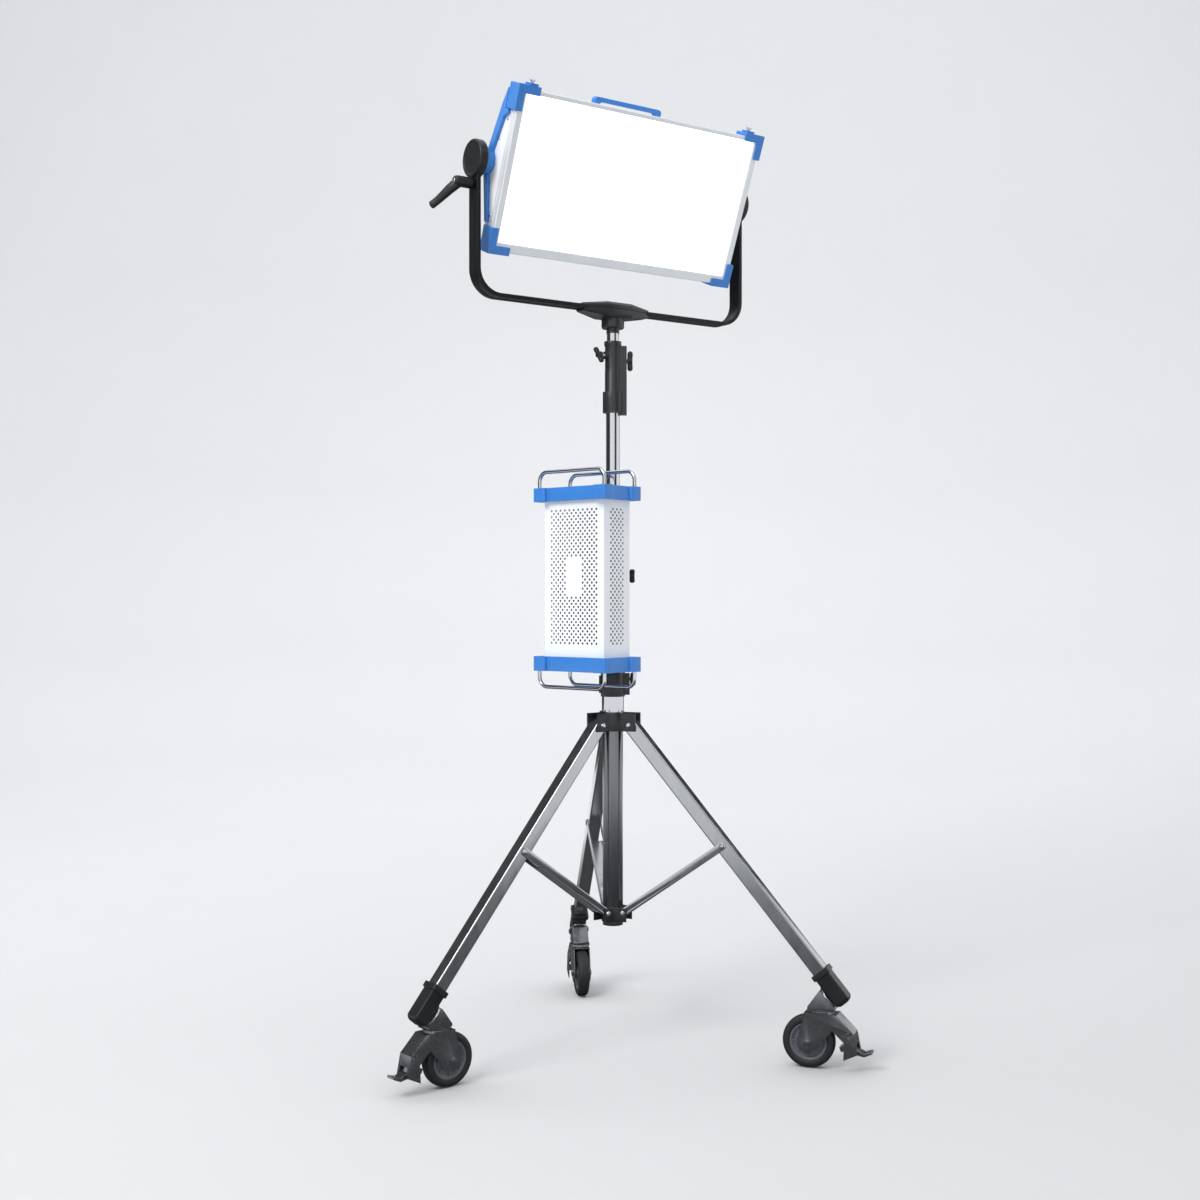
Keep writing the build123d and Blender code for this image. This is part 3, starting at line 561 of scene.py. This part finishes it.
def make_boss():
    """The faceted clamp, split along the strap, with its bell and ringed neck."""
    halves = []
    for upper in (True, False):
        path, sections = [], []
        for x, wide, low, high in ((-93, 17, 1738, 1756), (-92, 17.8, 1737.2, 1756.8),
                                   (-34, 33, 1728.5, 1763),
                                   (34, 33, 1728.5, 1763), (92, 17.8, 1737.2, 1756.8), (93, 17, 1738, 1756)):
            if upper:
                low = BAR_Z + 0.3
            else:
                high = BAR_Z - 0.3
            tall = high - low
            lip = 4.2
            if upper:
                outline = [(-wide, -tall / 2), (wide, -tall / 2), (wide, tall * 0.12), (wide - lip, tall / 2),
                           (lip - wide, tall / 2), (-wide, tall * 0.12)]
            else:
                outline = [(lip - wide, -tall / 2), (wide - lip, -tall / 2), (wide, -tall * 0.12),
                           (wide, tall / 2), (-wide, tall / 2), (-wide, -tall * 0.12)]
            sections.append(rounded(outline, 1.2, 3))
            path.append((x, 0, (low + high) / 2))
        bm = bmesh.new()
        rings = [[bm.verts.new((p[0], q[0], p[2] + q[1])) for q in s] for p, s in zip(path, sections)]
        for a, b in zip(rings, rings[1:]):
            for s in range(len(a)):
                t = (s + 1) % len(a)
                bm.faces.new((a[s], a[t], b[t], b[s]))
        bm.faces.new(list(reversed(rings[0])))
        bm.faces.new(rings[-1])
        halves.append((bm, ONE, 0))
    bell = arc_profile([(0, 1733), (27, 1733), (27, 1709), (25.5, 1705.3), (15.5, 1705), (15.5, 1701.6),
                        (14.4, 1701.2), (14.4, 1699.4), (15.5, 1699), (15.5, 1694), (14.6, 1693.2),
                        (14.05, 1693.2), (14.05, 1720), (0, 1720)], 0.7)
    halves.append((lathe(bell, 64), ONE, 0))
    for x, z in ((-62, 1759.3), (-38, 1762.2), (38, 1762.2), (62, 1759.3)):
        halves.append((screw_head(3.6, 1.8), Matrix.Translation((x, 0, z)), 1))
    piece("yoke_clamp_boss", halves, ["black_cast", "bright_pin"], "yoke", ["yoke_boss"], 16)
    spigot = arc_profile([(0, 1606), (12, 1606), (14, 1608), (14, 1729), (0, 1729)], 0.8)
    piece("spigot_bar", [(lathe(spigot, 64), ONE, 0)], ["chrome_tube"], "yoke", ["yoke_spigot"])


def make_lever():
    left = Matrix.Translation((0, 0, LEVER_Z)) @ Matrix.Rotation(radians(-90), 4, "Y")
    barrel = arc_profile([(0, 380), (9.5, 380), (11, 382), (11, 384), (12.4, 387), (12.4, 421), (10.5, 427.5),
                          (6.6, 429.6), (6.4, 427.6), (0, 427.4)], 1.4, 4)
    screw = arc_profile([(0, 427.2), (5.6, 427.2), (5.6, 429), (4.4, 429.9), (2.6, 429.9), (2.4, 428.4),
                         (0, 428.3)], 0.5)
    path = [(-414, 0, LEVER_Z), (-421, 6, 1987), (-430, 17, 1977), (-439, 30, 1965), (-447, 41, 1955),
            (-453, 48, 1948.5), (-456.5, 51.5, 1945.5), (-458.5, 53.5, 1944), (-459.5, 54.5, 1943.2)]
    widths = [12.0, 12.4, 11.6, 10.4, 9.4, 9.2, 9.4, 7.4, 1.6]
    sections = [[Vector((w * cos(a) * 1.02, w * sin(a) * 0.86)) for a in [2 * pi * s / 24 for s in range(24)]]
                for w in widths]
    grip = sweep(path, sections, (0, 0.5, 1))
    stud = lathe(arc_profile([(0, 371.5), (5, 371.5), (5, 381), (0, 381)], 0.4), 24)
    piece("tilt_lever_handle", [(lathe(barrel, 48), left, 0), (grip, ONE, 0), (lathe(screw, 28), left, 1),
                                (stud, left, 1)],
          ["black_plastic", "bright_pin"], "tilt_lever", ["tilt_lever"], 40)


# ---------------------------------------------------------------- tee knobs
def tee_knob(name, node, place, root, reach, span, roll):
    """A cast tee handle: a waisted hub and two flared wings on a threaded stem."""
    base = place @ Matrix.Rotation(radians(roll), 4, "X") @ X_AXIS
    stem = [(0, root), (4, root)]
    turns = int((reach - 13 - root) / 1.6)
    for n in range(turns):
        low = root + 0.4 + n * 1.6
        stem += [(4, low), (3.5, low + 0.8), (4, low + 1.5)]
    stem += [(4, reach - 12), (0, reach - 12)]
    hub = arc_profile([(0, reach - 13), (8.5, reach - 13), (8.5, reach - 10.5), (7, reach - 8),
                       (7.2, reach - 2), (5.6, reach - 0.4), (0, reach)], 0.9)
    wings = []
    steps = 17
    for i in range(steps):
        t = -1 + 2 * i / (steps - 1)
        taper = (1 - abs(t) ** 6) ** 0.5 if abs(t) < 1 else 0.04
        thick = (4.8 + 2.6 * abs(t) ** 1.5) * max(taper, 0.08)
        tall = (5.6 + 2.2 * abs(t) ** 1.5) * max(taper, 0.08)
        wings.append((t * span, thick, tall))
    path = [(w[0], 0, reach - 6) for w in wings]
    sections = [[Vector((w[1] * cos(a), w[2] * sin(a))) for a in [2 * pi * s / 20 for s in range(20)]]
                for w in wings]
    bar = sweep(path, sections, (0, 1, 0))
    piece(name, [(lathe(stem, 24), base, 1), (lathe(hub, 32), base, 0), (bar, base, 0)],
          ["black_plastic", "bright_pin"], node, [node], 45)


def make_knobs():
    """Each clamp screw: height and direction, then root, reach, half span of the wings and roll."""
    for name, node, height, angle, root, reach, span, roll in (
            ("lower_clamp_knob", "knob_lower", 872, RIGHT, 28, 54, 17, 20),
            ("upper_clamp_knob", "knob_upper", 1188, RIGHT + 90, 22, 56, 17, 0),
            ("supply_clamp_knob", "supply_knob", 1117, RIGHT, 28, 52, 17, 12),
            ("receiver_clamp_knob", "receiver_knob", 1640, SOCKET_SCREW_AT, 15, 47, 24, 38),
            ("side_clamp_knob", "side_knob", 1628, RIGHT, 15, 47, 24, 8)):
        tee_knob(name, node, Matrix.Translation((0, 0, height)) @ turn(angle), root, reach, span, roll)


# ---------------------------------------------------------------- column and tubes
def make_column():
    riser = arc_profile([(14, 560), (21.1, 560), (21.1, 576), (16, 576), (16, 1558.6), (15, 1560),
                         (14, 1560)], 0.6)
    piece("riser_bar", [(lathe(riser, 72, True), ONE, 0)], ["chrome_tube"], "riser",
          ["riser_tube"])
    tube = arc_profile([(21.5, 296), (24, 296), (24, 1060), (21.5, 1060)], 0.6)
    piece("column_bar", [(lathe(tube, 72, True), ONE, 0)], ["column_steel"], "column",
          ["column_tube"])
    sleeve = arc_profile([(24.05, 752), (26, 752), (26, 1175), (24.05, 1175)], 0.5)
    piece("sleeve_bar", [(lathe(sleeve, 72, True), ONE, 0)], ["chrome_tube"], "base",
          ["base_sleeve"])
    carried("receiver", 0.9, "black_cast")
    carried("collar_lower", 0.9, "black_cast")
    carried("collar_upper", 0.9, "black_cast")
    carried("leg_spider", 0.8, "black_steel")
    carried("lower_hub", 0.7, "black_steel")
    carried("hub_pins", 0.5, "bright_pin")
    carried("spider_pins", 0.5, "bright_pin")


# ---------------------------------------------------------------- power supply
PERF_STEP = 7.0
PERF_Z = (958.0, 1270.0)
HOLE_R = 2.75
SHEET_DEEP = 0.9


def case_point(u, z, inset=0.0):
    """A point of the case wall, from the distance round it."""
    half_x, half_y = CASE_X / 2 - inset, CASE_Y / 2 - inset
    sides = [((SUPPLY_OFF + half_x, -half_y), (SUPPLY_OFF + half_x, half_y)),
             ((SUPPLY_OFF + half_x, half_y), (SUPPLY_OFF - half_x, half_y)),
             ((SUPPLY_OFF - half_x, half_y), (SUPPLY_OFF - half_x, -half_y)),
             ((SUPPLY_OFF - half_x, -half_y), (SUPPLY_OFF + half_x, -half_y))]
    side, share = int(u) % 4, u - int(u)
    a, b = Vector(sides[side][0]), Vector(sides[side][1])
    p = a.lerp(b, share)
    return Vector((p.x, p.y, z))


def face_lines(width, half_cells):
    inner = half_cells * PERF_STEP + PERF_STEP / 2
    lines = [-width / 2 + 1.2, -inner]
    lines += [-inner + PERF_STEP * n for n in range(1, 2 * half_cells + 2)]
    return lines + [width / 2 - 1.2]


def make_case():
    bm = bmesh.new()
    rows = 22
    mid = (PERF_Z[0] + PERF_Z[1]) / 2
    tall = rows * PERF_STEP + PERF_STEP / 2
    levels = [CASE_Z[0] - 8, mid - tall] + [mid - tall + PERF_STEP * n for n in range(1, 2 * rows + 2)]
    levels += [CASE_Z[1] + 8]
    column_lines = []
    for side, (width, cells) in enumerate(((CASE_Y, 10), (CASE_X, 3), (CASE_Y, 10), (CASE_X, 3))):
        for value in face_lines(width, cells):
            column_lines.append((side, width, cells, value))
    count = len(column_lines)

    def spot(line, z, shift=0.0, inset=0.0):
        side, width, _, value = line
        return case_point(side + (value + shift + width / 2) / width, z, inset)

    grid = [[bm.verts.new(spot(line, z)) for z in levels] for line in column_lines]
    for i in range(count):
        j = (i + 1) % count
        here, there = column_lines[i], column_lines[j]
        for k in range(len(levels) - 1):
            corners = (grid[i][k], grid[j][k], grid[j][k + 1], grid[i][k + 1])
            same = here[0] == there[0]
            regular = same and abs(there[3] - here[3] - PERF_STEP) < 0.01 and 1 <= k <= len(levels) - 3
            column = round((here[3] + PERF_STEP / 2) / PERF_STEP) if regular else 0
            row = k - 1 - rows
            holed = regular and (column + row) % 2 == 0 and abs(column) <= here[2]
            if holed and here[0] == 0 and abs(column) <= 3 and abs(row) <= 6:
                holed = False
            if not holed:
                bm.faces.new(corners)
                continue
            centre_z = (levels[k] + levels[k + 1]) / 2
            centre = here[3] + PERF_STEP / 2
            line = (here[0], here[1], here[2], centre)
            front, back = [], []
            for s in range(12):
                angle = 2 * pi * (s + 0.5) / 12 - 3 * pi / 4 - pi / 12
                du, dz = HOLE_R * cos(angle), HOLE_R * sin(angle)
                front.append(bm.verts.new(spot(line, centre_z + dz, du)))
                back.append(bm.verts.new(spot(line, centre_z + dz, du, SHEET_DEEP)))
            for s in range(12):
                t = (s + 1) % 12
                bm.faces.new((front[t], front[s], back[s], back[t]))
            for quarter in range(4):
                ring = [front[(quarter * 3 + n) % 12] for n in range(4)]
                bm.faces.new([corners[quarter], corners[(quarter + 1) % 4]] + list(reversed(ring)))
    edges = [e for e in bm.edges if len(e.link_faces) == 2 and e.calc_face_angle(0) > radians(30)
             and e.calc_face_angle(0) < radians(60) and e.calc_length() > 3]
    bmesh.ops.bevel(bm, geom=edges, offset=0.7, segments=2, profile=0.6, affect="EDGES", clamp_overlap=True)
    # Painted shade: a dark box just inside the perforated case, so the holes show painted shade.
    inner_shade_box = prism([Vector((SUPPLY_OFF, 0)) + p for p in rrect(CASE_X - 9, CASE_Y - 9, 3)], CASE_Z[0] - 6,
                  CASE_Z[1] + 6)
    piece("supply_case_shell", [(bm, SUPPLY, 0)], ["white_housing"], "base",
          ["supply_case"], 25)
    piece("supply_inner_shade_box", [(inner_shade_box, SUPPLY, 0)], ["painted_inner_shade"], "base")


def make_supply():
    make_case()
    carried("supply_frames", 2.6, "blue_plastic", 3)
    carried("supply_clamp", 0.9, "black_cast")
    carried("supply_module", 0.6, "potted_module")
    wires = []
    half = CASE_Y / 2 + 8
    for level, reach in ((CASE_Z[0] - 30, CASE_Z[0] - 71), (CASE_Z[1] + 28, CASE_Z[1] + 69)):
        for x in (SUPPLY_OFF - 53, SUPPLY_OFF + 53):
            path = bent([(x, -half, level), (x, -half, reach), (x, half, reach), (x, half, level)], 22, 10)
            wires.append((sweep(path, circle(4.5, 20), (1, 0, 0)), SUPPLY, 0))
    piece("supply_wire_handles", wires, ["chrome_tube"], "base", ["supply_handles"], 50)


# ---------------------------------------------------------------- legs and casters
def make_wheel(k):
    x, z = WHEEL_AT
    place = turn(LEG_ANGLES[k - 1]) @ Matrix.Translation((x, 0, z)) @ Y_AXIS
    tyre = arc_profile([(43, -13), (46, -14.6), (52, -15), (58.6, -12), (60, -6), (60, 6), (58.6, 12),
                        (52, 15), (46, 14.6), (43, 13)], 2.6, 4)
    hub = [(5.1, -16.6), (12.6, -16.6), (14, -15.4), (14, -11), (17, -8), (33, -7), (37, -10.5), (39, -12),
           (43.2, -12), (43.2, 12), (39, 12), (37, 10.5), (33, 7), (17, 8), (14, 11), (14, 15.4),
           (12.6, 16.6), (5.1, 16.6)]
    parts = [(lathe(tyre, 96, True), place, 0), (lathe(arc_profile(hub, 0.8), 72, True), place, 1)]
    for n in range(8):
        rib = slab((15, 36), (-1.4, 1.4), (-10.5, 10.5), 0.5)
        parts.append((rib, place @ Matrix.Rotation(2 * pi * n / 8, 4, "Z"), 1))
    piece(f"wheel_{k}_rolling", parts, ["tyre", "wheel_hub"], f"wheel_{k}", [f"wheel_{k}"], 40)


def make_legs():
    lean = radians(39.8)
    for k in (1, 2, 3):
        carried(f"leg_{k}", 0.0, "leg_steel")
        carried(f"end_cap_{k}", 1.0, "black_plastic")
        carried(f"caster_seat_{k}", 1.2, "caster_steel")
        carried(f"brace_{k}", 0.5, "leg_steel")
        carried(f"fork_{k}", 0.6, "caster_steel")
        carried(f"brake_{k}", 0.8, "caster_steel")
        make_wheel(k)
        along_leg, out = 765.0, -18.5
        radius = 45.5 + along_leg * sin(lean) + out * cos(lean)
        height = 765 - along_leg * cos(lean) + out * sin(lean)
        ring = arc_profile([(24, -0.2), (27.3, -0.2), (27.5, 2), (27.3, 4.2), (24, 4.2)], 1.0)
        place = turn(LEG_ANGLES[k - 1]) @ Matrix.Translation((radius, 0, height))
        place = place @ along((0, 0, 0), (-cos(lean), 0, -sin(lean)))
        piece(f"cap_ring_{k}", [(lathe(ring, 48, True), place, 0)], ["chrome_tube"], f"leg_{k}")


# ---------------------------------------------------------------- stage
# The backdrop's brightest point, from which the painted shade deepens outwards.
BACKDROP_MIDDLE = (4.7, 6.84, 1.6)     # metres
FLAG_REACH = 3.2                       # column to the upright cards
FLAG_LIFT = 0.002                      # the flat card lies just over the floor
CAMERA_AT = (-2.061, -3.001, 1.060)    # read off the photo, level, turned by CAMERA_TURN degrees
CAMERA_TURN = -34.0
LENS = 45.9
SENSOR = 36.0


def shade_away(mat, middle, steps):
    """Paints shade into a colour with distance from a point: (distance, share of the colour) pairs."""
    tree = mat.node_tree
    link = tree.links.new
    shader = tree.nodes["Principled BSDF"]
    geometry = tree.nodes.new("ShaderNodeNewGeometry")
    away = tree.nodes.new("ShaderNodeVectorMath")
    away.operation = "DISTANCE"
    away.inputs[1].default_value = middle
    link(geometry.outputs["Position"], away.inputs[0])
    reach = tree.nodes.new("ShaderNodeMath")
    reach.operation = "DIVIDE"
    reach.inputs[1].default_value = steps[-1][0]
    link(away.outputs["Value"], reach.inputs[0])
    share = tree.nodes.new("ShaderNodeValToRGB")
    elements = share.color_ramp.elements
    while len(elements) < len(steps):
        elements.new(0.5)
    for element, (distance, value) in zip(elements, steps):
        element.position = distance / steps[-1][0]
        element.color = (value, value, value, 1.0)
    link(reach.outputs["Value"], share.inputs["Fac"])
    product = tree.nodes.new("ShaderNodeMix")
    product.data_type = "RGBA"
    product.blend_type = "MULTIPLY"
    product.inputs["Factor"].default_value = 1.0
    link(shader.inputs["Base Color"].links[0].from_socket, product.inputs["A"])
    link(share.outputs["Color"], product.inputs["B"])
    link(product.outputs["Result"], shader.inputs["Base Color"])


def make_stage():
    paint = surface("stage_paint_painted_shade", srgb(240, 241, 243), 0.75, 0.0, tone=0.008, tone_scale=2.0, grain=250,
                    bump=0.02, specular=0.0)
    MAT["stage_paint_painted_shade"] = paint
    # Painted shade: the backdrop colour darkens with distance from BACKDROP_MIDDLE, down to 0.70 at 8.4 m,
    # about where the stand is, and 0.66 from 10.5 m on.
    shade_away(paint, BACKDROP_MIDDLE, ((0.0, 1.0), (4.6, 0.90), (8.4, 0.70), (10.5, 0.66)))
    profile = [(0, 0), (2.5, 0), (4.5, 0), (6.0, 0.1), (7.2, 0.7), (8.0, 1.9), (8.3, 3.4), (8.3, 7.0)]
    bm = lathe(profile, 96)
    bmesh.ops.reverse_faces(bm, faces=bm.faces)
    data = bpy.data.meshes.new("stage_floor")
    bm.to_mesh(data)
    bm.free()
    data.materials.append(paint)
    floor = bpy.data.objects.new("stage_floor", data)
    floor.visible_glossy = False
    bpy.context.scene.collection.objects.link(floor)
    for face in data.polygons:
        face.use_smooth = True


def area_light(name, place, target, size, power, color):
    data = bpy.data.lights.new(name, "AREA")
    data.shape = "RECTANGLE"
    data.size, data.size_y = size
    data.energy = power
    data.color = color
    lamp = bpy.data.objects.new(name, data)
    lamp.location = place
    lamp.rotation_euler = (Vector(target) - Vector(place)).to_track_quat("-Z", "Y").to_euler()
    bpy.context.scene.collection.objects.link(lamp)


def make_flag(name, azimuth, spread, inner, outer):
    """A dark card that only gloss sees, between two (radius, height) edges, to streak bright metal."""
    data = bpy.data.meshes.new(name)
    steps = max(8, int(spread / 5))
    verts = []
    for reach, height in (inner, outer):
        for step in range(steps + 1):
            angle = radians(azimuth + spread * (step / steps - 0.5))
            verts.append((reach * cos(angle), reach * sin(angle), height))
    row = steps + 1
    data.from_pydata(verts, [], [(n, n + 1, n + 1 + row, n + row) for n in range(steps)])
    data.materials.append(MAT["reflection_card_shade"])
    card = bpy.data.objects.new(name, data)
    card.visible_camera = False
    card.visible_diffuse = False
    card.visible_shadow = False
    bpy.context.scene.collection.objects.link(card)


def make_light():
    # Painted reflection: these cards are seen only in gloss. Their colour is darkened to 0.10 near the stand
    # on the floor card, rising to 0.8 at its 3.1 m rim, and to 0.05 on the upright cards, so metal shows
    # painted dark streaks and a painted dark floor.
    MAT["reflection_card_shade"] = surface("reflection_card_shade", srgb(238, 239, 241), 0.9, 0.0)
    shade_away(MAT["reflection_card_shade"], (0.0, 0.0, 0.0),
               ((0.0, 0.10), (1.2, 0.11), (2.0, 0.22), (3.1, 0.8), (3.15, 0.05), (6.0, 0.05)))
    world = bpy.data.worlds.new("studio")
    world.use_nodes = True
    world.node_tree.nodes["Background"].inputs["Color"].default_value = (0.985, 0.992, 1.0, 1.0)
    world.node_tree.nodes["Background"].inputs["Strength"].default_value = 1.27
    bpy.context.scene.world = world
    area_light("key", (-4.2, -1.2, 4.6), (0, 0, 0.9), (2.2, 2.2), 165, (1.0, 0.985, 0.97))
    area_light("fill", (-3.0, 3.4, 3.4), (0, 0, 1.2), (2.4, 2.0), 30, (0.95, 0.97, 1.0))
    top = (FLAG_REACH, 4.2)
    make_flag("stage_flag_main", -76.0, 36.0, (FLAG_REACH, 0.75), top)
    make_flag("stage_flag_side", 158.0, 56.0, (FLAG_REACH, 0.75), top)
    make_flag("stage_flag_back", 72.5, 115.0, (FLAG_REACH, 0.3), top)
    make_flag("stage_flag_floor", 0.0, 359.0, (0.05, FLAG_LIFT), (3.1, FLAG_LIFT))


def make_camera():
    data = bpy.data.cameras.new("camera")
    data.lens = LENS
    data.sensor_width = SENSOR
    camera = bpy.data.objects.new("camera", data)
    camera.location = CAMERA_AT
    camera.rotation_euler = (radians(90), 0, radians(CAMERA_TURN))
    bpy.context.scene.collection.objects.link(camera)
    bpy.context.scene.camera = camera
    bpy.context.scene.view_settings.view_transform = "Standard"


make_camera()
make_head()
make_yoke()
make_knobs()
make_column()
make_supply()
make_legs()
make_stage()
make_light()

bpy.context.view_layer.update()
